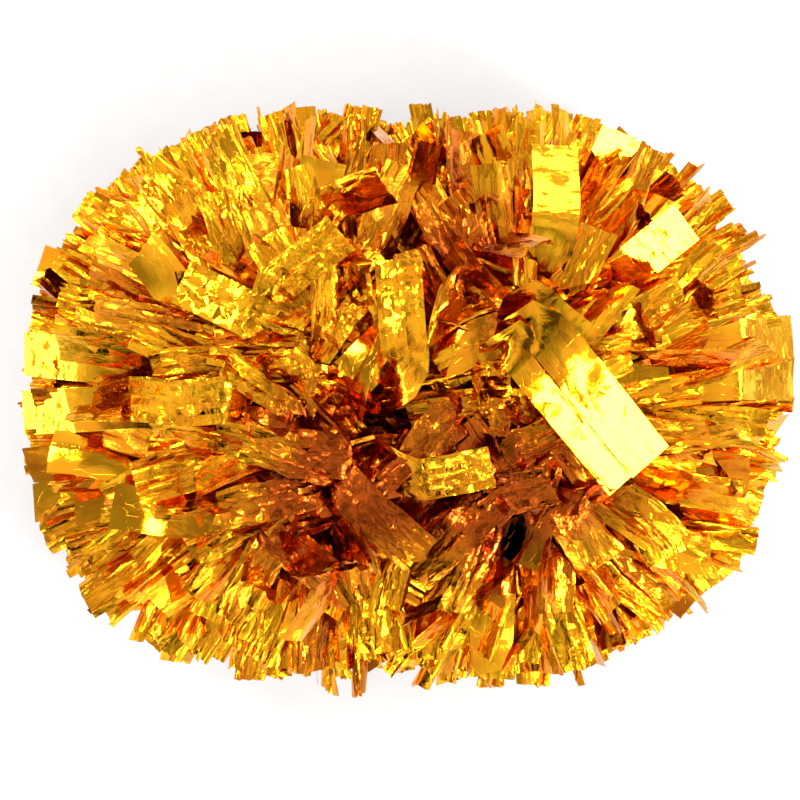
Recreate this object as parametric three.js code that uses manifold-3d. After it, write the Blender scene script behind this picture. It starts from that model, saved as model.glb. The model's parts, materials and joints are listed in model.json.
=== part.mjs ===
// A cheer pom pom: two tufts of slit metallised film, each wound round a groove of a short baton
// handle and held by a cable tie. The baton runs along X, the pom lies on z = 0, and the origin is
// under the middle of the pom. The film strips of each tuft are grouped in bundles, and each bundle
// is one closed, convex sheaf that starts beside its tie and flares to the outside of the tuft.
// Millimetres, +Z up.
import * as THREE from 'three';
import { ConvexGeometry } from 'three/addons/geometries/ConvexGeometry.js';
import { mergeVertices } from 'three/addons/utils/BufferGeometryUtils.js';
import Module from 'manifold-3d';

const wasm = await Module();
wasm.setup();

// Driving dimensions.
const tieOffset = 46; // from the middle of the baton to the middle of each tie
const batonHeight = 86; // of the baton's axis above the surface that the pom lies on
const stripReach = 146; // of the strips from the middle of their tie, level with the baton
const crownReach = 121; // of the strips that stand up
const bellyReach = 106; // of the strips below the baton, before the floor flattens them

const tubeRadius = 11;
const boreRadius = 8;
const tubeHalfLength = 66;
const flangeRadius = 15;
const flangeThickness = 2.2;
const grooveHalfWidth = 10.4;
const edgeChamfer = 0.8;

const capRadius = 13;
const capHeight = 6;
const capRim = 1.5; // straight edge of the cap below its dome
const domeSteps = 6;
const plugDepth = 12;
const fitGap = 0.3; // between pieces that touch

const windingRadius = 18;
const waistRadius = 15;
const windingHalfWidth = 10;
const waistHalfWidth = 4.5;
const windingShoulder = { wide: 3, high: 2 }; // where the winding's edge slopes down

const strapWidth = 4.8;
const strapThickness = 1.3;
const tieHead = { along: 6, across: 8, high: 5.2 };
const tieTail = { length: 7, lift: 1 };
const headSink = 0.2; // of the top of the head below the inside of the strap
const tailOverlap = 1; // of the tail with the head

const roundSegments = 32;
const layerSteps = 5; // of the grid over the outside of a bundle, each way

// The two rings of bundles of each tuft. Angles are in degrees: from and to are measured from the
// outward end of the baton, halfWidth is round it. A bundle above the baton is free to flex, so it
// keeps clear of its neighbours, and one below it is spread wide and carries the pom.
const rings = [
  {
    name: 'outer_streamers', count: 6, start: 34,
    free: { from: 15, to: 48, halfWidth: 20.5 },
    resting: { from: 11, to: 51, halfWidth: 25 },
  },
  {
    name: 'inner_streamers', count: 8, start: 25,
    free: { from: 70, to: 105, halfWidth: 18.5 },
    resting: { from: 59, to: 105, halfWidth: 20 },
  },
];

const finishes = {
  film: { color: 0xe2a112, roughness: 0.22, metalness: 1 },
  winding: { color: 0xb06c0c, roughness: 0.35, metalness: 1 },
  handle: { color: 0x1b1a1c, roughness: 0.4, metalness: 0 },
  cap: { color: 0x232124, roughness: 0.35, metalness: 0 },
  tie: { color: 0xe9e7df, roughness: 0.45, metalness: 0 },
};

function named(name, geometry, finish) {
  const mesh = new THREE.Mesh(geometry, new THREE.MeshStandardMaterial(finishes[finish]));
  mesh.name = name;
  return mesh;
}

// Turns a profile of [distance along the baton, radius] pairs about the baton's axis.
function turned(profile) {
  const points = profile.map(([along, radius]) => new THREE.Vector2(radius, along));
  return new THREE.LatheGeometry(points, roundSegments).rotateZ(-Math.PI / 2);
}

function solidFrom(geometry) {
  const bare = new THREE.BufferGeometry();
  bare.setAttribute('position', geometry.attributes.position);
  bare.setIndex(geometry.index);
  const merged = mergeVertices(bare);
  return new wasm.Manifold(new wasm.Mesh({
    numProp: 3,
    vertProperties: new Float32Array(merged.attributes.position.array),
    triVerts: new Uint32Array(merged.index.array),
  }));
}

function geometryFrom(solid) {
  const mesh = solid.getMesh();
  const geometry = new THREE.BufferGeometry();
  geometry.setAttribute('position', new THREE.BufferAttribute(mesh.vertProperties, 3));
  geometry.setIndex(new THREE.BufferAttribute(mesh.triVerts, 1));
  geometry.computeVertexNormals();
  return geometry;
}

// Hollow handle: a smooth grip between two grooves, each between two flanges.
function batonTube() {
  const end = tubeHalfLength;
  const half = [
    [tieOffset - grooveHalfWidth - flangeThickness, tubeRadius],
    [tieOffset - grooveHalfWidth - flangeThickness, flangeRadius],
    [tieOffset - grooveHalfWidth, flangeRadius],
    [tieOffset - grooveHalfWidth, tubeRadius],
    [tieOffset + grooveHalfWidth, tubeRadius],
    [tieOffset + grooveHalfWidth, flangeRadius],
    [tieOffset + grooveHalfWidth + flangeThickness, flangeRadius],
    [tieOffset + grooveHalfWidth + flangeThickness, tubeRadius],
    [end - edgeChamfer, tubeRadius],
    [end, tubeRadius - edgeChamfer],
    [end, boreRadius],
  ];
  const mirrored = half.map(([along, radius]) => [-along, radius]).reverse();
  return named('baton_tube', turned([...mirrored, ...half, mirrored[0]]), 'handle');
}

// Domed plug with its stem in the tube's bore.
function endCap(name) {
  const stem = boreRadius - fitGap;
  const face = tubeHalfLength + fitGap;
  const profile = [
    [tubeHalfLength - plugDepth, 0],
    [tubeHalfLength - plugDepth, stem - edgeChamfer],
    [tubeHalfLength - plugDepth + edgeChamfer, stem],
    [face, stem],
    [face, capRadius],
  ];
  for (let i = 1; i <= domeSteps; i += 1) {
    const turn = (i / domeSteps) * (Math.PI / 2);
    const radius = i < domeSteps ? capRadius * Math.cos(turn) : 0;
    profile.push([face + capRim + (capHeight - capRim) * Math.sin(turn), radius]);
  }
  return named(name, turned(profile), 'cap');
}

// The uncut middle band of the slit sheets, wound many turns deep and pinched by its tie.
function foilWinding(name) {
  const half = [
    [waistHalfWidth, waistRadius],
    [windingHalfWidth - windingShoulder.wide, windingRadius],
    [windingHalfWidth, windingRadius - windingShoulder.high],
    [windingHalfWidth, tubeRadius + fitGap],
  ];
  const mirrored = half.map(([along, radius]) => [-along, radius]).reverse();
  const profile = [...mirrored, ...half, mirrored[0]];
  const mesh = named(name, turned(profile), 'winding');
  mesh.position.x = tieOffset;
  return mesh;
}

// Strap, ratchet head and cut tail of a nylon tie, one moulding. The head faces down.
function cableTie(name) {
  const inner = waistRadius + fitGap;
  const outer = inner + strapThickness;
  const strap = solidFrom(turned([
    [-strapWidth / 2, inner],
    [-strapWidth / 2, outer],
    [strapWidth / 2, outer],
    [strapWidth / 2, inner],
    [-strapWidth / 2, inner],
  ]));
  const headMiddle = inner + tieHead.high / 2 + headSink;
  const head = new THREE.BoxGeometry(tieHead.along, tieHead.across, tieHead.high);
  head.translate(0, 0, -headMiddle);
  const tail = new THREE.BoxGeometry(strapWidth, tieTail.length, strapThickness);
  tail.translate(0, tieHead.across / 2 + tieTail.length / 2 - tailOverlap, -outer - tieTail.lift);
  const mesh = named(name, geometryFrom(strap.add(solidFrom(head)).add(solidFrom(tail))), 'tie');
  mesh.position.x = tieOffset;
  return mesh;
}

// How far a strip reaches from the middle of its tie in a direction, down to the floor at most.
function reachAlong(direction) {
  const upright = direction.z > 0 ? crownReach : bellyReach;
  const closeness = Math.hypot(direction.x / stripReach, direction.y / stripReach, direction.z / upright);
  const floor = direction.z < 0 ? batonHeight / -direction.z : Infinity;
  return Math.min(1 / closeness, floor);
}

// A sheaf of strips: the convex solid between a small root beside the tie and its grid of tips.
function streamerBundle(name, span, middle) {
  const points = [];
  for (let i = 0; i <= layerSteps; i += 1) {
    for (let j = 0; j <= layerSteps; j += 1) {
      const away = THREE.MathUtils.degToRad(span.from + ((span.to - span.from) * i) / layerSteps);
      const round = THREE.MathUtils.degToRad(middle + span.halfWidth * ((2 * j) / layerSteps - 1));
      const direction = new THREE.Vector3(
        Math.cos(away),
        Math.sin(away) * Math.cos(round),
        Math.sin(away) * Math.sin(round),
      );
      points.push(direction.clone().multiplyScalar(reachAlong(direction)));
      const corner = (i === 0 || i === layerSteps) && (j === 0 || j === layerSteps);
      if (corner) points.push(direction.clone().multiplyScalar(span.root));
    }
  }
  const mesh = named(name, mergeVertices(new ConvexGeometry(points)), 'film');
  mesh.position.x = tieOffset;
  return mesh;
}

// One tuft with its winding and tie, at the +X end.
function tuft(side) {
  const pieces = [
    endCap(`end_cap_${side}`),
    foilWinding(`foil_winding_${side}`),
    cableTie(`cable_tie_${side}`),
  ];
  rings.forEach((ring) => {
    for (let i = 0; i < ring.count; i += 1) {
      const middle = (360 / ring.count) * (i + 0.5);
      const span = middle < 180 ? ring.free : ring.resting;
      pieces.push(streamerBundle(`${ring.name}_${side}_${i + 1}`, { ...span, root: ring.start }, middle));
    }
  });
  return pieces;
}

const pomPom = new THREE.Group();
const assembly = new THREE.Group();
assembly.position.z = batonHeight;
pomPom.add(assembly);
assembly.add(batonTube());
const rightTuft = new THREE.Group();
rightTuft.add(...tuft('right'));
const leftTuft = new THREE.Group();
leftTuft.rotation.z = Math.PI;
leftTuft.add(...tuft('left'));
assembly.add(rightTuft, leftTuft);

export default pomPom;
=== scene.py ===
import json
import math

import bmesh
import bpy
import numpy as np
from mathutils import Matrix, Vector


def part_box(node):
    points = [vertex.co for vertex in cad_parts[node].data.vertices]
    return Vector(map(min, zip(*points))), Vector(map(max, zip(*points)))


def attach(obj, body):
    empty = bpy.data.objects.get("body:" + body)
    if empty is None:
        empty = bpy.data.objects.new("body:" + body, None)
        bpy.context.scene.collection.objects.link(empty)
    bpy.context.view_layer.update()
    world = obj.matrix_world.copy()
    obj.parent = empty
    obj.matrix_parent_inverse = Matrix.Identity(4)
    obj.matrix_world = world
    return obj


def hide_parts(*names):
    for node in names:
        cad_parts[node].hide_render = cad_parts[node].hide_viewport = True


# Cheer pom pom of gold metallised film, lying on a pale floor and seen from straight above.
# Metres, +X along the baton, +Z up. Each bundle of film strips rides on the CAD bundle it stands for.

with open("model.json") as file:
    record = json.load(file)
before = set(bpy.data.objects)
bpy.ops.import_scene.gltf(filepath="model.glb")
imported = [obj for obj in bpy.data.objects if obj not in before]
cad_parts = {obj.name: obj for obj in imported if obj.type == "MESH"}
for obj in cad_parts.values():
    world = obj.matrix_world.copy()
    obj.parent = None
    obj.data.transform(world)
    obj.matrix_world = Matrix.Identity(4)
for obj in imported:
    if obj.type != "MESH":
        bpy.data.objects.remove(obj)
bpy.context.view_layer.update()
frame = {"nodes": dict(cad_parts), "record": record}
print("frame loaded:", len(frame["nodes"]), "nodes")


def middleOf(node):
    low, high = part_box(node)
    return (low + high) / 2


def unit(v):
    return v / np.maximum(np.linalg.norm(v, axis=-1, keepdims=True), 1e-9)


def smooth(t):
    t = np.clip(t, 0, 1)
    return t * t * (3 - 2 * t)


def hexToLinear(code):
    parts = [int(code[i:i + 2], 16) / 255 for i in (1, 3, 5)]
    return [c / 12.92 if c <= 0.04045 else ((c + 0.055) / 1.055) ** 2.4 for c in parts] + [1.0]


def addNode(tree, kind, settings=None, links=None):
    node = tree.nodes.new(kind)
    for name, value in (settings or {}).items():
        if isinstance(name, int) or name in node.inputs:
            node.inputs[name].default_value = value
        else:
            setattr(node, name, value)
    for name, source in (links or {}).items():
        tree.links.new(source, node.inputs[name])
    return node


def newMaterial(name):
    material = bpy.data.materials.new(name)
    material.use_nodes = True
    tree = material.node_tree
    tree.nodes.clear()
    return material, tree


filmLook = {
    "lemon": "#FFBC12",         # yellow lacquer over aluminium, where the film lies smooth
    "amber": "#F08804",         # the same lacquer where it went on thicker
    "bounceShade": "#B24C04",          # painted shade: the deeper colour of film that mirrors other film, towards the winding and inside the creases, where light bounces twice
    "roughness": 0.06,          # mirror-like where it kept flat
    "crushedRoughness": 0.24,   # hazy where it was crushed
    "creaseMm": 1.5,            # spacing of the fine lengthwise creases
    "crumpleMm": 4.5,           # size of the soft crumples
    "facetMm": 4.2,             # size of the flat facets between hard creases
    "dentMm": 15.0,             # slow dents of strips that stayed smooth
    "cloudMm": 11.0,            # patches of thicker lacquer
    "creaseDepth": 0.00024,
    "crumpleDepth": 0.0008,
    "facetTilt": 0.62,          # slope of the steepest facets
    "dentDepth": 0.0016,
}


def goldFilm():
    # vacuum-metallised polyester film with a yellow lacquer: a crumpled mirror, lemon at the tips,
    # that turns orange and then brown where strips reflect each other; that deeper colour is partly rendered
    # and partly painted on as painted shade
    look = filmLook
    material, tree = newMaterial("metallised gold film")
    place = addNode(tree, "ShaderNodeAttribute", {"attribute_name": "filmPlace"}).outputs["Vector"]
    crush = addNode(tree, "ShaderNodeAttribute", {"attribute_name": "crush"}).outputs["Fac"]
    tone = addNode(tree, "ShaderNodeAttribute", {"attribute_name": "tone"}).outputs["Fac"]
    bounceShadeMix = addNode(tree, "ShaderNodeAttribute", {"attribute_name": "bounceShadeMix"}).outputs["Fac"]
    lengthwise = addNode(tree, "ShaderNodeVectorMath", {"operation": "MULTIPLY", 1: (1, 0.2, 1)}, {0: place})
    stretched = addNode(tree, "ShaderNodeVectorMath", {"operation": "MULTIPLY", 1: (1, 0.6, 1)}, {0: place})
    creases = addNode(tree, "ShaderNodeTexNoise",
                      {"Scale": 1 / look["creaseMm"], "Detail": 3, "Roughness": 0.55, "Distortion": 0.5},
                      {"Vector": lengthwise.outputs[0]})
    facets = addNode(tree, "ShaderNodeTexNoise",
                     {"Scale": 1 / look["crumpleMm"], "Detail": 3, "Roughness": 0.5, "Distortion": 0.8},
                     {"Vector": stretched.outputs[0]})
    dents = addNode(tree, "ShaderNodeTexNoise",
                    {"Scale": 1 / look["dentMm"], "Detail": 1.5, "Roughness": 0.5}, {"Vector": place})
    clouds = addNode(tree, "ShaderNodeTexNoise",
                     {"Scale": 1 / look["cloudMm"], "Detail": 2, "Roughness": 0.5},
                     {"Vector": stretched.outputs[0]})
    cells = addNode(tree, "ShaderNodeTexVoronoi", {"Scale": 1 / look["facetMm"]},
                    {"Vector": stretched.outputs[0]})
    leaning = addNode(tree, "ShaderNodeVectorMath", {"operation": "SUBTRACT", 1: (0.5, 0.5, 0.5)},
                      {0: cells.outputs["Color"]})
    fromMiddle = addNode(tree, "ShaderNodeVectorMath", {"operation": "SUBTRACT"},
                         {0: stretched.outputs[0], 1: cells.outputs["Position"]})
    plane = addNode(tree, "ShaderNodeVectorMath", {"operation": "DOT_PRODUCT"},
                    {0: leaning.outputs[0], 1: fromMiddle.outputs[0]})
    ridge = addNode(tree, "ShaderNodeMath", {"operation": "SUBTRACT", 1: 0.5}, {0: facets.outputs["Fac"]})
    sharp = addNode(tree, "ShaderNodeMath", {"operation": "ABSOLUTE"}, {0: ridge.outputs[0]})
    dented = addNode(tree, "ShaderNodeMapRange", {"From Max": 0.5, "To Min": 0.12}, {"Value": crush})
    wavy = addNode(tree, "ShaderNodeBump", {"Distance": look["dentDepth"]},
                   {"Height": dents.outputs["Fac"], "Strength": dented.outputs[0]})
    faceted = addNode(tree, "ShaderNodeBump", {"Distance": 0.001 * look["facetTilt"]},
                      {"Height": plane.outputs["Value"], "Strength": crush, "Normal": wavy.outputs[0]})
    crumple = addNode(tree, "ShaderNodeBump", {"Distance": look["crumpleDepth"]},
                      {"Height": sharp.outputs[0], "Strength": crush, "Normal": faceted.outputs[0]})
    fine = addNode(tree, "ShaderNodeBump", {"Distance": look["creaseDepth"]},
                   {"Height": creases.outputs["Fac"], "Strength": crush, "Normal": crumple.outputs[0]})
    thick = addNode(tree, "ShaderNodeMapRange", {"From Min": 0.36, "From Max": 0.66},
                    {"Value": clouds.outputs["Fac"]})
    patch = addNode(tree, "ShaderNodeMix", {"data_type": "FLOAT", 0: 0.45}, {2: thick.outputs[0], 3: tone})
    lacquer = addNode(tree, "ShaderNodeMix",
                      {"data_type": "RGBA", 6: hexToLinear(look["lemon"]), 7: hexToLinear(look["amber"])},
                      {0: patch.outputs[0]})
    # painted shade: in the valleys of the fine creases the colour is mixed toward the bounce-shade colour,
    # and further by each point's painted-shade mark
    valley = addNode(tree, "ShaderNodeMapRange", {"From Min": 0.46, "From Max": 0.28},
                     {"Value": creases.outputs["Fac"]})
    crushed = addNode(tree, "ShaderNodeMath", {"operation": "MULTIPLY"}, {0: valley.outputs[0], 1: crush})
    shaded = addNode(tree, "ShaderNodeMath", {"operation": "MULTIPLY_ADD", 1: 0.7, "use_clamp": True},
                     {0: crushed.outputs[0], 2: bounceShadeMix})
    colour = addNode(tree, "ShaderNodeMix", {"data_type": "RGBA", 7: hexToLinear(look["bounceShade"])},
                     {0: shaded.outputs[0], 6: lacquer.outputs[2]})
    haze = addNode(tree, "ShaderNodeMapRange",
                   {"To Min": look["roughness"], "To Max": look["crushedRoughness"]}, {"Value": crush})
    shader = addNode(tree, "ShaderNodeBsdfPrincipled",
                     {"Metallic": 1.0, "Coat Weight": 0.2, "Coat Roughness": 0.03, "Coat IOR": 1.5},
                     {"Base Color": colour.outputs[2], "Roughness": haze.outputs[0],
                      "Normal": fine.outputs[0], "Coat Normal": fine.outputs[0]})
    addNode(tree, "ShaderNodeOutputMaterial", {}, {"Surface": shader.outputs[0]})
    return material


def mouldedPlastic(name, code, roughness, grainMm):
    # injection-moulded plastic: fine spark-eroded grain, soft highlight
    material, tree = newMaterial(name)
    where = addNode(tree, "ShaderNodeTexCoord").outputs["Object"]
    grain = addNode(tree, "ShaderNodeTexNoise", {"Scale": 1000 / grainMm, "Detail": 4}, {"Vector": where})
    clouds = addNode(tree, "ShaderNodeTexNoise", {"Scale": 60, "Detail": 2}, {"Vector": where})
    shade = hexToLinear(code)
    worn = [min(1, c * 1.35 + 0.004) for c in shade[:3]] + [1]
    colour = addNode(tree, "ShaderNodeMix", {"data_type": "RGBA", 6: shade, 7: worn},
                     {0: clouds.outputs["Fac"]})
    rough = addNode(tree, "ShaderNodeMapRange", {"To Min": roughness - 0.06, "To Max": roughness + 0.08},
                    {"Value": clouds.outputs["Fac"]})
    bump = addNode(tree, "ShaderNodeBump", {"Distance": 0.00008, "Strength": 0.6},
                   {"Height": grain.outputs["Fac"]})
    shader = addNode(tree, "ShaderNodeBsdfPrincipled", {"IOR": 1.49},
                     {"Base Color": colour.outputs[2], "Roughness": rough.outputs[0],
                      "Normal": bump.outputs[0]})
    addNode(tree, "ShaderNodeOutputMaterial", {}, {"Surface": shader.outputs[0]})
    return material


def paperFloor():
    # seamless white background paper: matt with a faint fibre
    material, tree = newMaterial("white background paper")
    fibre = addNode(tree, "ShaderNodeTexNoise", {"Scale": 500, "Detail": 3})
    colour = addNode(tree, "ShaderNodeMix",
                     {"data_type": "RGBA", 6: hexToLinear("#FBFBFA"), 7: hexToLinear("#F4F4F2")},
                     {0: fibre.outputs["Fac"]})
    shader = addNode(tree, "ShaderNodeBsdfPrincipled", {"Roughness": 0.9}, {"Base Color": colour.outputs[2]})
    addNode(tree, "ShaderNodeOutputMaterial", {}, {"Surface": shader.outputs[0]})
    return material


film = goldFilm()
handlePlastic = mouldedPlastic("moulded black polypropylene", "#1C1B1D", 0.4, 0.3)
capPlastic = mouldedPlastic("moulded black cap plastic", "#242225", 0.3, 0.3)
tieNylon = mouldedPlastic("natural nylon", "#E9E6DC", 0.42, 0.25)
print("finishes made")


strips = {
    "width": 0.021,          # a strip as it is slit from the sheet
    "length": 0.150,         # from the edge of the uncut band to the square-cut end
    "rows": 18,              # mesh steps along a strip
    "folds": 8,              # mesh panels across it, each a pleat where it is gathered
    "calmShare": 0.11,       # strips that kept flat and glossy
    "foldedShare": 0.16,     # strips whose tip is folded over
    "longShare": 0.68,       # strips that reach the outline; the others end short of it
    "spikeShare": 0.02,      # thin ones that stand out past it
    "hardCreases": 0.6,      # share of the lengthwise creases that are sharp
    "curl": 0.16,            # how far a strip curls across its width, in radians to each side
    "droop": (0.008, 0.040),  # how far the ends at the sides hang down
    "seed": 11,
}

tuft = {
    "reach": (0.1425, 0.1435, 0.104),   # from the tie to the tips: outward, sideways, up
    "belly": 0.106,                    # reach below the baton before the floor flattens it
    "squareness": 2.12,                # 2 is an ellipsoid; more fills its corners
    "parting": (0.013, -0.030),        # where the strips on top part, from the middle of the tie
    "partingRun": 0.058,               # the parting runs this far along +Y
    "partingRadius": 0.036,
    "rise": 0.066,                     # how high they stand before they bend over
    "lie": 0.070,                      # how far from its tip a strip on top follows the outline
    "thinning": 0.45,                  # share of the strips on top that lie lower, in the fringe
    "tousle": (0.16, 0.5),             # radians that the ends swing aside, outside and in the middle
    "shade": (-0.045, 0.041),          # film is painted a deeper colour as painted shade in a band across both tufts: y, half width
    "hollow": (0.022, 0.068, 0.032),   # and in a patch behind the middle: x, y, radius
    "top": (0.196, 0.214),             # strips are pressed down above this height, loose ones higher
}

# angles in degrees from the outward end of the baton; crossing strips lean over the other tuft
ringPlan = {
    "outer": {"count": 6, "from": 0, "to": 58, "strips": 64, "crossing": 0},
    "inner": {"count": 8, "from": 58, "to": 110, "strips": 88, "crossing": 14},
}
lean = {"right": 5, "left": -3}      # the seam between the tufts lies a little to the left

# wide strips that lie loose on top, in millimetres: where each bends over, its tip, and the lamp
# that it mirrors or the way it faces
looseStrips = {
    "outer_right_2": [
        {"over": (54, 14), "tip": (98, -38, 191), "mirrors": "fill softbox", "ripple": 0.03},
        {"over": (64, 22), "tip": (108, -30, 193), "mirrors": "fill softbox", "ripple": 0.05},
        {"over": (58, 38), "tip": (79, 20, 203), "facing": (0.20, -0.05, 0.97)},
    ],
    "outer_right_1": [
        {"over": (106, 60), "tip": (127, 77, 176), "mirrors": "fill softbox"},
        {"over": (160, 27), "tip": (187, 28, 116), "facing": (0.66, 0.05, 0.75)},
        {"over": (160, 7), "tip": (188, 7, 114), "facing": (0.66, -0.02, 0.75)},
    ],
    "inner_right_1": [
        {"over": (92, 98), "tip": (103, 121, 144), "mirrors": "fill softbox"},
        {"over": (68, 78), "tip": (70, 114, 156), "facing": (0.05, 0.55, 0.83)},
    ],
    "inner_left_4": [
        {"over": (-54, 50), "tip": (-28, 70, 196), "facing": (0.05, 0.22, 0.97), "crushed": 0.8},
        {"over": (-60, 80), "tip": (-62, 112, 150), "facing": (-0.12, 0.55, 0.82), "crushed": 0.5},
    ],
    "inner_left_3": [
        {"over": (0, 16), "tip": (-2, 58, 203), "facing": (-0.26, 0.10, 0.94), "crushed": 0.3},
    ],
    "inner_left_2": [
        {"over": (10, -37), "tip": (40, -32, 202), "facing": (-0.05, -0.42, 0.9), "crushed": 0.5},
    ],
    "outer_left_3": [
        {"over": (-68, 36), "tip": (-98, 50, 188), "mirrors": "key softbox", "crushed": 0.3},
        {"over": (-150, 16), "tip": (-180, 19, 126), "mirrors": "left strip"},
    ],
    "outer_left_2": [
        {"over": (-84, -2), "tip": (-122, -3, 183), "facing": (-0.34, -0.10, 0.93), "crushed": 0.4},
        {"over": (-150, -6), "tip": (-181, -7, 124), "mirrors": "left strip"},
    ],
}

rng = np.random.default_rng(strips["seed"])
axisHeight = middleOf("baton_tube").z
hubX = middleOf("foil_winding_right").x
windingRadius = (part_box("foil_winding_right")[1].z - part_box("foil_winding_right")[0].z) / 2


# width is what the camera sees level with the baton
view = {"lens": 85, "width": 0.3966, "aside": -0.0015, "below": -0.0025}
sensorWidth = 0.036
cameraAway = view["width"] * view["lens"] / 1000 / sensorWidth

lamps = {
    "key softbox":    {"at": (-0.9, 0.7, 1.3), "size": (0.32, 0.26), "watts": 9},
    "fill softbox":   {"at": (0.85, -0.6, 1.15), "size": (0.29, 0.29), "watts": 10},
    "front strip":    {"at": (0.1, -1.2, 0.7), "size": (1.0, 0.2), "watts": 4},
    "back strip":     {"at": (0.2, 1.3, 0.6), "size": (1.0, 0.2), "watts": 4},
    "left strip":     {"at": (-1.3, -0.1, 0.35), "size": (0.9, 0.15), "watts": 4},
    "right strip":    {"at": (1.3, 0.1, 0.35), "size": (0.9, 0.15), "watts": 4},
}


def directionFor(side, away, around):
    sign = 1 if side == "right" else -1
    return np.array([sign * math.cos(away), sign * math.sin(away) * math.cos(around),
                     math.sin(away) * math.sin(around)])


def reachAlong(d):
    outward, sideways, up = tuft["reach"]
    power = tuft["squareness"]
    parts = np.abs(d) / (outward, sideways, up if d[2] > 0 else tuft["belly"])
    ball = float((parts ** power).sum()) ** (-1 / power)
    floor = (axisHeight - 0.002) / -d[2] if d[2] < 0 else 9.0
    return min(ball, floor)


def wave(rows, count, amount):
    # smooth random wobble, zero at the root
    knots = rng.normal(0, amount, (count + 1, 3))
    knots[0] = 0
    at = np.linspace(0, count, rows)
    low = np.minimum(at.astype(int), count - 1)
    t = smooth(at - low)[:, None]
    return knots[low] * (1 - t) + knots[low + 1] * t


def bentLine(root, first, second, tip):
    t = np.linspace(0, 1, strips["rows"])[:, None]
    return root * (1 - t) ** 3 + 3 * first * t * (1 - t) ** 2 + 3 * second * t * t * (1 - t) + tip * t ** 3


def partingFeet():
    x, y = tuft["parting"]
    return np.array([[hubX + x, y], [-hubX + x, y]])


def clearOfPartings(tip):
    # a tip that would cover the foot of a parting is pushed to its edge
    for foot in partingFeet():
        gap = tip[:2] - foot
        distance = max(float(np.linalg.norm(gap)), 1e-4)
        if distance < 0.6 * tuft["partingRadius"]:
            tip = tip + (*(gap / distance * (0.6 * tuft["partingRadius"] - distance)), 0)
    return tip


def shadeNear(points):
    # strips that crowd between the feet of the partings, and in the hollow behind them, show each
    # other, so their film is painted deeper there as painted shade
    (right, _), (left, _) = partingFeet()
    y, halfWidth = tuft["shade"]
    beyond = np.maximum(np.maximum(points[..., 0] - right, left - points[..., 0]), 0)
    between = np.exp(-(beyond ** 2 + (points[..., 1] - y) ** 2) / halfWidth ** 2)
    x, y, radius = tuft["hollow"]
    behind = np.exp(-((points[..., 0] - x) ** 2 + (points[..., 1] - y) ** 2) / radius ** 2)
    return np.maximum(between, 0.85 * behind)


drape = {
    "rootScatter": 0.12,            # how unevenly the strips leave the winding
    "rootDepth": 0.88,              # where they start, as a share of the winding's radius
    "rootAside": 0.006,             # to their own side of the tie
    "straightOut": 0.045,           # those at the sides run straight out this far
    "lying": (0.085, 0.125),        # reach of the strips that lie along the floor
    "lyingHigh": (0.002, 0.02),     # and their height
    "lyingScatter": 0.06,
    "standScatter": 0.009,
    "tipScatter": 0.005,
    "pastParting": (0.7, 1.7),      # how far a tip over a parting is moved out of it
    "bend": 0.05,                   # how far before its tip a strip at the side turns
    "slope": 0.10,                  # of the last stretch, downwards
    "steeper": (0.15, 0.6),         # on top
    "outwards": 0.85,               # how much a strip on top turns away from the parting
    "middleWidth": 0.075,           # the ends are tousled within this distance of the middle
    "wobble": 0.0024,
    "sag": 2.2,                     # power of the droop along the strip
}


def stripRoute(side, d, share):
    # centre line from the winding to the tip; strips on top rise to the parting and bend over
    sign = 1 if side == "right" else -1
    hub = np.array([sign * hubX, 0, axisHeight])
    tip = hub + d * reachAlong(d) * share
    radial = unit(np.array([0.0, d[1], d[2]]) + rng.normal(0, drape["rootScatter"], 3) * (0, 1, 1))
    ownSide = math.copysign(drape["rootAside"], d[0] + 0.01 * sign)
    root = hub + radial * windingRadius * drape["rootDepth"] + (ownSide, 0, 0)
    upper = float(smooth((d[2] + 0.05) / 0.6))
    pressed = float(smooth((-d[2] - 0.25) / 0.35))   # strips under the baton lie out along the floor
    if pressed > 0:
        level = unit(d * (1, 1, 0) + rng.normal(0, drape["lyingScatter"], 3) * (1, 1, 0))
        lying = hub * (1, 1, 0) + level * rng.uniform(*drape["lying"])
        lying = lying + (0, 0, rng.uniform(*drape["lyingHigh"]))
        tip = tip * (1 - pressed) + lying * pressed
    northward = d[1] / max(math.hypot(d[0], d[1]), 0.3)
    along = tuft["partingRun"] * float(smooth((northward + 0.55) / 1.4))
    stand = hub + (tuft["parting"][0], tuft["parting"][1] + along, tuft["rise"])
    stand = stand + rng.normal(0, drape["standScatter"], 3)
    flat = (tip - stand) * (1, 1, 0)
    distance = max(np.linalg.norm(flat), 1e-4)
    outward = flat / distance
    if upper > 0.3 and distance < tuft["partingRadius"]:
        tip = tip + outward * (tuft["partingRadius"] - distance) * rng.uniform(*drape["pastParting"])
    if upper > 0.3:
        tip = clearOfPartings(tip)
    first = (root + radial * drape["straightOut"]) * (1 - upper) + stand * upper
    slope = -drape["slope"] - upper * rng.uniform(*drape["steeper"])
    last = unit(d * (1 - drape["outwards"] * upper) + outward * drape["outwards"] * upper + (0, 0, slope))
    outside, inMiddle = tuft["tousle"]
    nearMiddle = 1 - float(smooth(abs(tip[0]) / drape["middleWidth"]))
    swing = rng.normal(0, outside + (inMiddle - outside) * nearMiddle) * upper
    c, s = math.cos(swing), math.sin(swing)
    last = np.array([last[0] * c - last[1] * s, last[0] * s + last[1] * c, last[2]])
    if d[2] < -0.3:
        last = unit(last * (1, 1, 0.35))
    tip = tip + rng.normal(0, drape["tipScatter"], 3) * upper
    second = tip - last * (drape["bend"] * (1 - upper) + tuft["lie"] * upper)
    line = bentLine(root, first, second, tip) + wave(strips["rows"], 4, drape["wobble"])
    hanging = rng.uniform(*strips["droop"]) * (1 - upper) * (1 - pressed)
    line[:, 2] -= hanging * np.linspace(0, 1, len(line)) ** drape["sag"]
    return line


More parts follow.
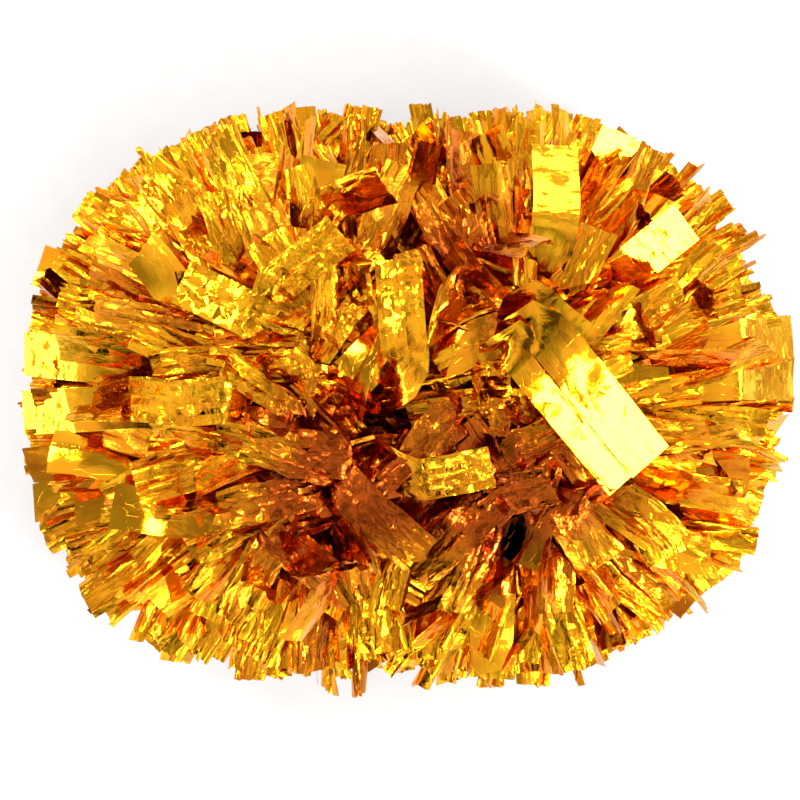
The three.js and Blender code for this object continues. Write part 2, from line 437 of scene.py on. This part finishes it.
def stripFrame(line, roll, twist):
    along = unit(np.gradient(line, axis=0))
    up = np.array([0, 0, 1.0]) + 0.001
    facing = up - along * (along @ up)[:, None]
    outward = unit(line - line.mean(0) * (1, 1, 0)) * 0.15
    facing = unit(facing + outward - along * (along * outward).sum(1)[:, None])
    across = np.cross(along, facing)
    turn = roll + twist * np.linspace(0, 1, len(line))
    c, s = np.cos(turn)[:, None], np.sin(turn)[:, None]
    return along, across * c + facing * s, facing * c - across * s


def foldTip(line, along, across, facing):
    # the end of the strip turns over along a sharp crease
    rows = len(line)
    k = int(rows * rng.uniform(0.6, 0.85))
    bend = rng.uniform(0.8, 2.3) * rng.choice([-1, 1])
    step = np.linalg.norm(np.diff(line, axis=0), axis=1)
    newAlong = along[k] * math.cos(bend) + facing[k] * math.sin(bend)
    newFacing = facing[k] * math.cos(bend) - along[k] * math.sin(bend)
    for i in range(k + 1, rows):
        line[i] = line[i - 1] + newAlong * step[i - 1]
        across[i], facing[i] = across[k], newFacing


def pleated(line, across, facing, openness, ripple, curl, top):
    # the strip's cross-section is a row of panels: steep zigzag where it is gathered, flat where open
    rows, folds = strips["rows"], strips["folds"]
    t = np.linspace(0, 1, rows)[:, None]
    slope = np.where(np.arange(folds) % 2, -1, 1) * rng.uniform(0.2, 1.3, folds) + rng.normal(0, 0.4, folds)
    angle = np.arccos(np.clip(openness, 0.05, 1))[:, None] * slope
    angle = angle + rng.normal(0, ripple, (rows, folds)) * (0.35 + 0.65 * t)
    angle = angle + rng.normal(0, 1) * curl * np.linspace(-1, 1, folds) * t
    wander = rng.uniform(0.45, 1.55, (2, folds))
    panel = wander[0] * (1 - t) + wander[1] * t
    panel = strips["width"] * panel / panel.sum(1, keepdims=True)
    zero = np.zeros((rows, 1))
    x = np.hstack([zero, np.cumsum(np.cos(angle) * panel, 1)])
    z = np.hstack([zero, np.cumsum(np.sin(angle) * panel, 1)])
    tilt = (z[:, -1:] - z[:, :1]) / np.maximum(x[:, -1:], 0.002)
    z = z - tilt * x
    x -= x.mean(1, keepdims=True)
    z -= z.mean(1, keepdims=True)
    points = line[:, None] + across[:, None] * x[..., None] + facing[:, None] * z[..., None]
    points[..., 2] = np.maximum(points[..., 2], 0.0006)
    points[..., 2] -= 0.7 * np.maximum(points[..., 2] - top, 0)
    return points


def stripMarks(points, crush, bounceShadeMix, crowded, deepest):
    # how crushed the film is, how much painted shade deepens its colour, and the strip's own tone
    shape = points.shape[:2]
    tone = min(max(rng.normal(0.5, 0.3), 0), deepest)
    # painted shade towards the roots and where strips crowd, plus a deeper random tone for some strips
    deeper = bounceShadeMix[:, None] + crowded * shadeNear(points) + 1.5 * max(tone - 0.72, 0)
    return points, np.broadcast_to(crush[:, None], shape), deeper, np.full(shape, tone)


def stripSurface(side, d, share):
    t = np.linspace(0, 1, strips["rows"])
    onTop = float(smooth((d[2] - 0.1) / 0.5))
    calm = rng.random() < strips["calmShare"]
    line = stripRoute(side, d, share)
    along, across, facing = stripFrame(line, rng.normal(0, 0.75 - 0.25 * onTop), rng.normal(0, 0.5))
    if rng.random() < strips["foldedShare"]:
        foldTip(line, along, across, facing)
    atTip = 1.0 if calm else rng.uniform(0.30 + 0.45 * onTop, 0.85 + 0.14 * onTop)
    if share > 1.02:
        atTip = 0.25
    openness = 0.2 + (atTip - 0.2) * smooth(t / (0.5 if calm else 0.8))
    points = pleated(line, across, facing, openness, 0.03 if calm else 0.22, strips["curl"], tuft["top"][0])
    # painted shade: film towards the roots, where the strips gather at the winding, is painted a deeper
    # colour
    rootShade = 0.6 + 0.3 * onTop
    crush = (0.2 if calm else 1.0) * (1.1 - 0.45 * t)
    return stripMarks(points, crush, rootShade * (1 - smooth((t - 0.35) / 0.65)), 0.95, 1)


def looseSurface(side, plan):
    t = np.linspace(0, 1, strips["rows"])
    hub = np.array([(1 if side == "right" else -1) * hubX, 0, axisHeight])
    tip = np.array(plan["tip"]) / 1000
    if "mirrors" in plan:
        toLamp = unit(np.array(lamps[plan["mirrors"]]["at"]) - tip)
        faces = unit(toLamp + unit(np.array([0, 0, axisHeight + cameraAway]) - tip))
    else:
        faces = unit(np.array(plan["facing"]))
    over = np.array([*plan["over"], 0]) / 1000
    over[2] = tip[2] - (over - tip)[:2] @ faces[:2] / faces[2]
    root = hub + (0, 0, windingRadius * 0.9)
    line = bentLine(root, root + (0, 0, 0.05), over - (tip - over) * 0.5, over)
    outer = np.linspace(0, 1, 9)[:, None]
    line = np.vstack([line[::2], over * (1 - outer) + tip * outer])
    line = line + wave(strips["rows"], 3, 0.0001 if "mirrors" in plan else 0.0012)
    along = unit(np.gradient(line, axis=0))
    facing = unit(faces - along * (along @ faces)[:, None])
    across = np.cross(along, facing)
    openness = 0.3 + 0.7 * smooth(t / 0.4)
    crushed = plan.get("crushed", 0)
    ripple = plan.get("ripple", 0.006) + 0.16 * crushed
    curl = 0 if "mirrors" in plan else strips["curl"]
    points = pleated(line, across, facing, openness - 0.08 * crushed, ripple, curl, tuft["top"][1])
    crush = 0.10 + 0.75 * crushed + 0.6 * (1 - crushed) * (1 - smooth(t / 0.55))
    # painted shade: a loose strip is painted deeper towards its root, with little of the crowd shade
    return stripMarks(points, crush, 0.7 * (1 - smooth((t - 0.15) / 0.4)), 0.3, 0.5)


def stripMesh(name, members, length, width):
    # one mesh of many strips; filmPlace is each point's place on its flat strip, in millimetres
    rows, cols = members[0][0].shape[:2]
    corner = np.arange(rows * cols).reshape(rows, cols)
    quads = np.stack([corner[:-1, :-1], corner[1:, :-1], corner[1:, 1:], corner[:-1, 1:]], -1)
    quads = quads.reshape(-1, 4)
    count = len(members)
    points = np.concatenate([m[0].reshape(-1, 3) for m in members])
    faces = (quads[None] + (np.arange(count) * rows * cols)[:, None, None]).reshape(-1, 4)
    mesh = bpy.data.meshes.new(name)
    mesh.vertices.add(len(points))
    mesh.vertices.foreach_set("co", points.astype(np.float32).ravel())
    mesh.loops.add(faces.size)
    mesh.loops.foreach_set("vertex_index", faces.astype(np.int32).ravel())
    mesh.polygons.add(len(faces))
    mesh.polygons.foreach_set("loop_start", np.arange(0, faces.size, 4, dtype=np.int32))
    mesh.update(calc_edges=True)
    mesh.validate()
    mesh.shade_smooth()
    ends = np.empty(len(mesh.edges) * 2, np.int32)
    mesh.edges.foreach_get("vertices", ends)
    lengthwise = np.abs(ends[::2] - ends[1::2]) == cols
    crush, bounceShadeMix, tone = (np.concatenate([m[k].reshape(-1) for m in members]) for k in (1, 2, 3))
    hard = lengthwise & (rng.random(len(lengthwise)) < strips["hardCreases"])
    hard = hard & (crush[ends[::2]] > 0.3)       # calm film has no hard creases
    mesh.attributes.new("sharp_edge", "BOOLEAN", "EDGE").data.foreach_set("value", hard)
    across = np.tile(np.linspace(0, width * 1000, cols), (rows, 1))
    along = np.tile(np.linspace(0, length * 1000, rows)[:, None], (1, cols))
    place = np.stack([across, along, np.zeros_like(across)], -1).reshape(-1, 3)
    elsewhere = rng.uniform(0, 4000, (count, 3))    # so that no two strips are creased alike
    place = np.tile(place, (count, 1)) + np.repeat(elsewhere, rows * cols, axis=0)
    mesh.attributes.new("filmPlace", "FLOAT_VECTOR", "POINT").data.foreach_set("vector", place.ravel())
    for mark, values in {"crush": crush, "bounceShadeMix": bounceShadeMix, "tone": tone}.items():
        mesh.attributes.new(mark, "FLOAT", "POINT").data.foreach_set("value", values)
    mesh.materials.append(film)
    piece = bpy.data.objects.new(name, mesh)
    bpy.context.scene.collection.objects.link(piece)
    return piece


def stripShare():
    pick = rng.random()
    if pick < strips["spikeShare"]:
        return rng.uniform(1.03, 1.06)
    if pick < strips["longShare"]:
        return rng.uniform(0.955, 1.01)
    return rng.uniform(0.74, 0.955)


winding = {
    "turns": 3.2,            # of the uncut margin, wound over itself
    "innerRadius": 0.0114,   # just clear of the tube
    "pleatsPerTurn": 46,     # gathers left by pulling the band tight
    "pleatDepth": 0.0007,
    "steps": 900,            # mesh steps along the band
    "panels": 12,            # and across it
    "flatLength": 0.33,
    "waistSlope": 0.35,      # share of the half width where the tie's pinch runs out
    "pinch": 0.5,            # how much of the build-up the tie presses flat
    "ragged": 0.02,          # unevenness of the edges
    "fill": 0.96,            # share of the groove's width
    # the wound film is painted a deeper colour all over as painted shade
    "marks": {"crush": 0.8, "bounceShadeMix": 0.35, "tone": 0.6},
}


def windingPiece(side):
    # the uncut margin of the sheet, wound on the tube in a spiral and pinched at the waist by the tie
    low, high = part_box(f"foil_winding_{side}")
    waistLow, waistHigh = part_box(f"cable_tie_{side}")
    steps, panels = winding["steps"], winding["panels"]
    turn = np.linspace(0, winding["turns"] * 2 * math.pi, steps)[:, None]
    across = np.linspace(-1, 1, panels + 1)[None]
    outerRadius = windingRadius - 2 * winding["pleatDepth"]
    build = (turn / turn[-1]) * (outerRadius - winding["innerRadius"])
    tieWidth = (waistHigh.x - waistLow.x) / (high.x - low.x)
    waist = 1 - smooth((np.abs(across) - tieWidth) / winding["waistSlope"])
    uneven = 1.2 * np.sin(turn * 7.3)
    pleat = np.sin(turn * winding["pleatsPerTurn"] + uneven) * np.cos(across * 1.1 + turn)
    build = build * (1 - winding["pinch"] * waist)
    radius = winding["innerRadius"] + build + winding["pleatDepth"] * (1 + pleat)
    ragged = 1 + winding["ragged"] * np.sin(turn * 13.7) + winding["ragged"] * np.sin(turn * 31.1)
    x = (low.x + high.x) / 2 + across * ragged * (high.x - low.x) / 2 * winding["fill"]
    points = np.stack([x, radius * np.cos(turn), axisHeight + radius * np.sin(turn)], -1)
    member = (points, *(np.full(points.shape[:2], mark) for mark in winding["marks"].values()))
    return stripMesh(f"film_winding_{side}", [member], winding["flatLength"], high.x - low.x)


def bundleTips(side, plan, middle):
    # evenly scattered tip directions over the bundle's share of the tuft, with each strip's reach
    spread = math.pi / plan["count"]
    to = plan["to"] + (lean[side] if plan["crossing"] else 0)
    nearest, furthest = math.cos(math.radians(plan["from"])), math.cos(math.radians(to))
    rowsOfTips = max(3, round(math.sqrt(plan["strips"] * 0.9)))
    perRow = math.ceil(plan["strips"] / rowsOfTips)
    for i in range(rowsOfTips):
        for j in range(perRow):
            share = (i + rng.random()) / rowsOfTips
            away = math.acos(nearest + (furthest - nearest) * share)
            around = middle + spread * (2 * (j + rng.random()) / perRow - 1)
            yield away, around, stripShare()
    for _ in range(plan["crossing"]):
        away = math.radians(to + rng.uniform(0, 36))
        yield away, middle + spread * rng.uniform(-1, 1), rng.uniform(0.5, 0.88)


handle = {
    "sides": 96,             # round the baton
    "gripRings": 15,         # shallow rings moulded into the grip
    "ringDepth": 0.0005,
    "edge": 0.0006,          # radius of its moulded edges
    "tube": 0.011,           # radius outside
    "bore": 0.008,           # and inside
    "flangeWall": 0.0022,
    "groove": 0.0104,        # half the width of the groove that a winding fills
    "plainEnd": 0.006,       # grip without rings next to a flange
    "ringSteps": 8,          # of the mesh along one ring
}

weldWithin = 1e-6
sharpAngle = 0.6             # radians; edges sharper than this are rounded
fineEdge = 0.0002            # radius on the caps and ties


def turnedPiece(name, profile, look, bevel):
    # a profile of (along the baton, radius) pairs turned round the baton's axis
    sides = handle["sides"]
    turn = np.linspace(0, 2 * math.pi, sides, endpoint=False)
    rings = len(profile)
    points = [(x, r * math.cos(a), axisHeight + r * math.sin(a)) for x, r in profile for a in turn]
    closed = profile[0][1] != 0      # a tube's profile is a loop; a plug's starts and ends on the axis
    faces = []
    for i in range(rings if closed else rings - 1):
        here, there = i * sides, (i + 1) % rings * sides
        for j in range(sides):
            after = (j + 1) % sides
            faces.append((here + j, here + after, there + after, there + j))
    mesh = bpy.data.meshes.new(name)
    mesh.from_pydata(points, [], faces)
    piece = bpy.data.objects.new(name, mesh)
    bpy.context.scene.collection.objects.link(piece)
    finishMesh(piece, look, bevel)
    return piece


def finishMesh(piece, look, bevel):
    # merged, facing out, with rounded edges
    work = bmesh.new()
    work.from_mesh(piece.data)
    bmesh.ops.remove_doubles(work, verts=work.verts, dist=weldWithin)
    bmesh.ops.dissolve_degenerate(work, edges=work.edges, dist=1e-7)
    bmesh.ops.recalc_face_normals(work, faces=work.faces)
    sharp = [e for e in work.edges if len(e.link_faces) == 2 and e.calc_face_angle() > sharpAngle]
    bmesh.ops.bevel(work, geom=sharp, offset=bevel, segments=2, profile=0.5, affect="EDGES")
    work.to_mesh(piece.data)
    work.free()
    piece.data.shade_smooth()
    piece.data.materials.append(look)


def batonPiece():
    # flanged tube with a ringed grip between the tufts
    low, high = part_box("baton_tube")
    middle = middleOf("cable_tie_right").x
    tube, flange = handle["tube"], (high.z - low.z) / 2
    wall, groove = handle["flangeWall"], handle["groove"]
    gripEnd = middle - groove - wall
    ringed = gripEnd - handle["plainEnd"]
    perRing = handle["ringSteps"]
    grip = []
    for i, x in enumerate(np.linspace(-ringed, ringed, handle["gripRings"] * perRing + 1)):
        sunk = 0.5 - 0.5 * math.cos(2 * math.pi * i / perRing)
        grip.append((float(x), tube - handle["ringDepth"] * sunk))
    half = [
        (gripEnd, tube),
        (gripEnd, flange),
        (middle - groove, flange),
        (middle - groove, tube),
        (middle + groove, tube),
        (middle + groove, flange),
        (middle + groove + wall, flange),
        (middle + groove + wall, tube),
        (high.x, tube),
        (high.x, handle["bore"]),
    ]
    profile = [(-x, r) for x, r in reversed(half)] + grip + half
    return turnedPiece("handle_tube", profile, handlePlastic, handle["edge"])


cap = {
    "stem": 0.0077,          # radius of the plug in the bore
    "plug": 0.0123,          # its length
    "rim": 0.0015,           # straight edge below the dome
    "domeSteps": 14,
    "relief": 0.0004,        # of the plug between its ribs
    "lead": 0.0012,          # taper at its inner end
    "ribs": 4,
    "ribPitch": 0.0024,
    "firstRib": 0.0022,
    "gate": (0.0016, 0.0013),   # radii of the moulding gate
    "gateDepth": 0.0005,
}


def capPiece(side):
    # push-in plug with a domed head and a small moulding gate in its middle
    low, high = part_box(f"end_cap_{side}")
    sign = 1 if side == "right" else -1
    inner, outer = (low.x, high.x) if side == "right" else (-high.x, -low.x)
    radius, stem, rim = (high.z - low.z) / 2, cap["stem"], cap["rim"]
    face = inner + cap["plug"]
    relieved = stem - cap["relief"]
    profile = [(inner, 0.0), (inner, stem - cap["lead"])]
    for i in range(cap["ribs"]):
        at = inner + cap["firstRib"] + i * cap["ribPitch"]
        profile += [(at, relieved), (at + 0.0008, stem), (at + 0.0012, stem), (at + 0.002, relieved)]
    profile += [(face, relieved), (face, radius)]
    for a in np.linspace(0, math.pi / 2, cap["domeSteps"])[:-1]:
        profile.append((face + rim + (outer - face - rim) * math.sin(a), radius * math.cos(a)))
    wide, narrow = cap["gate"]
    sunk = outer - cap["gateDepth"]
    profile += [(outer - 0.00005, wide), (sunk, narrow), (sunk, 0.0)]
    return turnedPiece(f"cap_{side}", [(sign * x, r) for x, r in profile], capPlastic, fineEdge)


def boxPoints(low, high):
    xs, ys, zs = zip(low, high)
    return [(x, y, z) for x in xs for y in ys for z in zs]


boxFaces = [(0, 1, 3, 2), (4, 6, 7, 5), (0, 4, 5, 1), (2, 3, 7, 6), (0, 2, 6, 4), (1, 5, 7, 3)]

tie = {
    "width": 0.0048,
    "thickness": 0.0011,
    "teeth": 120,            # round the inside of the strap
    "toothDepth": 0.00025,
    "head": (0.006, 0.008, 0.0052),     # along the baton, round it, high
    "wall": (0.0009, 0.0016),           # of the head's slot, along the baton and round it
    "pawl": (0.0018, 0.0026),           # half sizes
    "pawlHigh": (0.0008, 0.0022),
    "tail": 0.007,
    "tailHigh": (0.0029, 0.0018),       # below the top of the head
    "tailIn": 0.001,                    # of the tail inside the head
    "chamfer": (0.0004, 0.0002),        # of the strap's outer edges, across and in
    "land": 0.0007,                     # smooth edge beside the teeth
}


def tiePiece(side):
    # strap with its ratchet teeth, the head with its slot and pawl, and the snipped tail, one moulding
    low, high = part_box(f"cable_tie_{side}")
    x = (low.x + high.x) / 2
    outer = high.z - axisHeight
    inner = outer - tie["thickness"]
    half = tie["width"] / 2
    chamfer, shoulder = tie["chamfer"]
    steps = tie["teeth"] * 2
    points, faces = [], []
    for i in range(steps):
        a = 2 * math.pi * i / steps
        toothed = inner + (tie["toothDepth"] if i % 2 else 0)
        edge = inner + 0.00005
        flatEdge, toothEdge = half - chamfer, half - tie["land"]
        section = [(-half, edge), (-half, outer - shoulder), (-flatEdge, outer), (flatEdge, outer),
                   (half, outer - shoulder), (half, edge), (toothEdge, toothed), (-toothEdge, toothed)]
        for along, radius in section:
            points.append((x + along, radius * math.cos(a), axisHeight + radius * math.sin(a)))
    for i in range(steps):
        for j in range(8):
            here, there = i * 8, (i + 1) % steps * 8
            faces.append((here + j, here + (j + 1) % 8, there + (j + 1) % 8, there + j))
    top = axisHeight - inner - 0.0002
    along, aroundHead, bottom = tie["head"][0] / 2, tie["head"][1] / 2, top - tie["head"][2]
    wallAlong, wallRound = tie["wall"]
    pawlAlong, pawlRound = tie["pawl"]
    pawlLow, pawlHigh = (bottom + high for high in tie["pawlHigh"])
    tailLow, tailHigh = (top - below for below in tie["tailHigh"])
    tailFrom = aroundHead - tie["tailIn"]
    tailTo = aroundHead + tie["tail"] - tie["tailIn"]
    blocks = [
        ((x - along, -aroundHead, bottom), (x + along, -aroundHead + wallRound, top)),
        ((x - along, aroundHead - wallRound, bottom), (x + along, aroundHead, top)),
        ((x - along, -aroundHead, bottom), (x - along + wallAlong, aroundHead, top)),
        ((x + along - wallAlong, -aroundHead, bottom), (x + along, aroundHead, top)),
        ((x - pawlAlong, -pawlRound, pawlLow), (x + pawlAlong, pawlRound, pawlHigh)),
        ((x - half, tailFrom, tailLow), (x + half, tailTo, tailHigh)),
    ]
    for lowCorner, highCorner in blocks:
        start = len(points)
        points += boxPoints(lowCorner, highCorner)
        faces += [tuple(start + k for k in face) for face in boxFaces]
    mesh = bpy.data.meshes.new(f"tie_{side}")
    mesh.from_pydata(points, [], faces)
    piece = bpy.data.objects.new(f"tie_{side}", mesh)
    bpy.context.scene.collection.objects.link(piece)
    finishMesh(piece, tieNylon, fineEdge)
    return piece


def makeHandle():
    pieces = {"baton_tube": (batonPiece(), "handle")}
    for side in ("right", "left"):
        pieces[f"end_cap_{side}"] = (capPiece(side), "cap")
        pieces[f"cable_tie_{side}"] = (tiePiece(side), "tie")
    for node, (piece, slot) in pieces.items():
        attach(piece, "baton")
        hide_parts(node)
    print("baton, caps and ties moulded")


def thinned(d):
    # some of the strips on top lie lower, in the fringe
    if d[2] > 0.2 and rng.random() < tuft["thinning"]:
        return unit(d * (1, 1, 0) + (0, 0, rng.uniform(-0.1, 0.4) * math.hypot(d[0], d[1])))
    return d


def makeWindings():
    for side in ("right", "left"):
        piece = windingPiece(side)
        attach(piece, "baton")
        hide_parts(f"foil_winding_{side}")
    print("film wound on the baton")


def makeBundles():
    bodyNodes = frame["record"]["behaviour"]["bodies"]
    bodies = {node: body for body, nodes in bodyNodes.items() for node in nodes}
    total = 0
    for side in ("right", "left"):
        for ring, plan in ringPlan.items():
            for i in range(plan["count"]):
                middle = math.radians(360 / plan["count"] * (i + 0.5))
                node = f"{ring}_streamers_{side}_{i + 1}"
                members = [stripSurface(side, thinned(directionFor(side, away, around)), share)
                           for away, around, share in bundleTips(side, plan, middle)]
                for loose in looseStrips.get(f"{ring}_{side}_{i + 1}", []):
                    members.append(looseSurface(side, loose))
                name = f"film_{ring}_{side}_{i + 1}"
                piece = stripMesh(name, members, strips["length"], strips["width"])
                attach(piece, bodies[node])
                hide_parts(node)
                total += len(members)
    print("film strips:", total)


def makeCamera():
    data = bpy.data.cameras.new("camera")
    data.lens = view["lens"]
    camera = bpy.data.objects.new("camera", data)
    bpy.context.scene.collection.objects.link(camera)
    data.sensor_width = sensorWidth * 1000
    camera.location = (view["aside"], view["below"], axisHeight + cameraAway)
    camera.rotation_euler = (0, 0, 0)
    bpy.context.scene.camera = camera


# what the white studio shows the film: direction, half width in degrees, brightness added
bounces = {
    "ceiling left":   {"towards": (-0.45, 0.10, 0.9), "spread": 26, "bright": 0.75},
    "ceiling back":   {"towards": (0.20, 0.55, 0.9), "spread": 22, "bright": 0.7},
    "ceiling right":  {"towards": (0.70, -0.15, 0.8), "spread": 28, "bright": 0.75},
    "ceiling front":  {"towards": (-0.05, -0.50, 0.9), "spread": 22, "bright": 0.7},
    "wall left":      {"towards": (-0.95, -0.35, 0.25), "spread": 42, "bright": 0.85},
    "wall back":      {"towards": (-0.25, 0.95, 0.25), "spread": 40, "bright": 0.85},
    "wall right":     {"towards": (0.90, 0.45, 0.25), "spread": 40, "bright": 0.85},
    "wall front":     {"towards": (0.35, -0.95, 0.25), "spread": 40, "bright": 0.8},
    "dark camera":    {"towards": (0.02, -0.08, 1.0), "spread": 9, "bright": -0.28},
    "dark doorway":   {"towards": (-0.55, -0.70, 0.55), "spread": 20, "bright": -0.5},
    "dark stand":     {"towards": (0.75, 0.65, 0.75), "spread": 14, "bright": -0.45},
}
roomBrightness = 0.35


def studioWorld():
    world = bpy.data.worlds.new("studio")
    world.use_nodes = True
    tree = world.node_tree
    tree.nodes.clear()
    direction = addNode(tree, "ShaderNodeTexCoord").outputs["Generated"]
    total = None
    for bounce in bounces.values():
        towards = Vector(bounce["towards"]).normalized()
        near = addNode(tree, "ShaderNodeVectorMath", {"operation": "DOT_PRODUCT", 1: towards},
                       {0: direction})
        glow = addNode(tree, "ShaderNodeMapRange",
                       {"interpolation_type": "SMOOTHSTEP", "To Max": bounce["bright"], "From Max": 1.0,
                        "From Min": math.cos(math.radians(bounce["spread"]))},
                       {"Value": near.outputs["Value"]})
        if total is None:
            total = addNode(tree, "ShaderNodeMath", {"operation": "ADD", 1: roomBrightness},
                            {0: glow.outputs[0]})
        else:
            total = addNode(tree, "ShaderNodeMath", {"operation": "ADD"},
                            {0: glow.outputs[0], 1: total.outputs[0]})
    shader = addNode(tree, "ShaderNodeBackground", {"Color": (1, 1, 1, 1)}, {"Strength": total.outputs[0]})
    addNode(tree, "ShaderNodeOutputWorld", {}, {"Surface": shader.outputs[0]})
    return world


def makeLight():
    for name, lamp in lamps.items():
        data = bpy.data.lights.new(name, "AREA")
        data.shape = "RECTANGLE"
        data.size, data.size_y = lamp["size"]
        data.energy = lamp["watts"]
        light = bpy.data.objects.new(name, data)
        light.location = lamp["at"]
        toPom = Vector((0, 0, axisHeight)) - Vector(lamp["at"])
        light.rotation_euler = toPom.to_track_quat("-Z", "Y").to_euler()
        bpy.context.scene.collection.objects.link(light)
    bpy.context.scene.world = studioWorld()
    bpy.context.scene.view_settings.view_transform = "Standard"
    bpy.context.scene.cycles.glossy_bounces = 6    # strips mirror strips that mirror strips


def makeFloor():
    half = 3.0
    corners = [(-half, -half, 0), (half, -half, 0), (half, half, 0), (-half, half, 0)]
    mesh = bpy.data.meshes.new("floor")
    mesh.from_pydata(corners, [], [(0, 1, 2, 3)])
    mesh.materials.append(paperFloor())
    floor = bpy.data.objects.new("floor", mesh)
    bpy.context.scene.collection.objects.link(floor)


makeCamera()
makeHandle()
makeWindings()
makeBundles()
makeLight()
makeFloor()
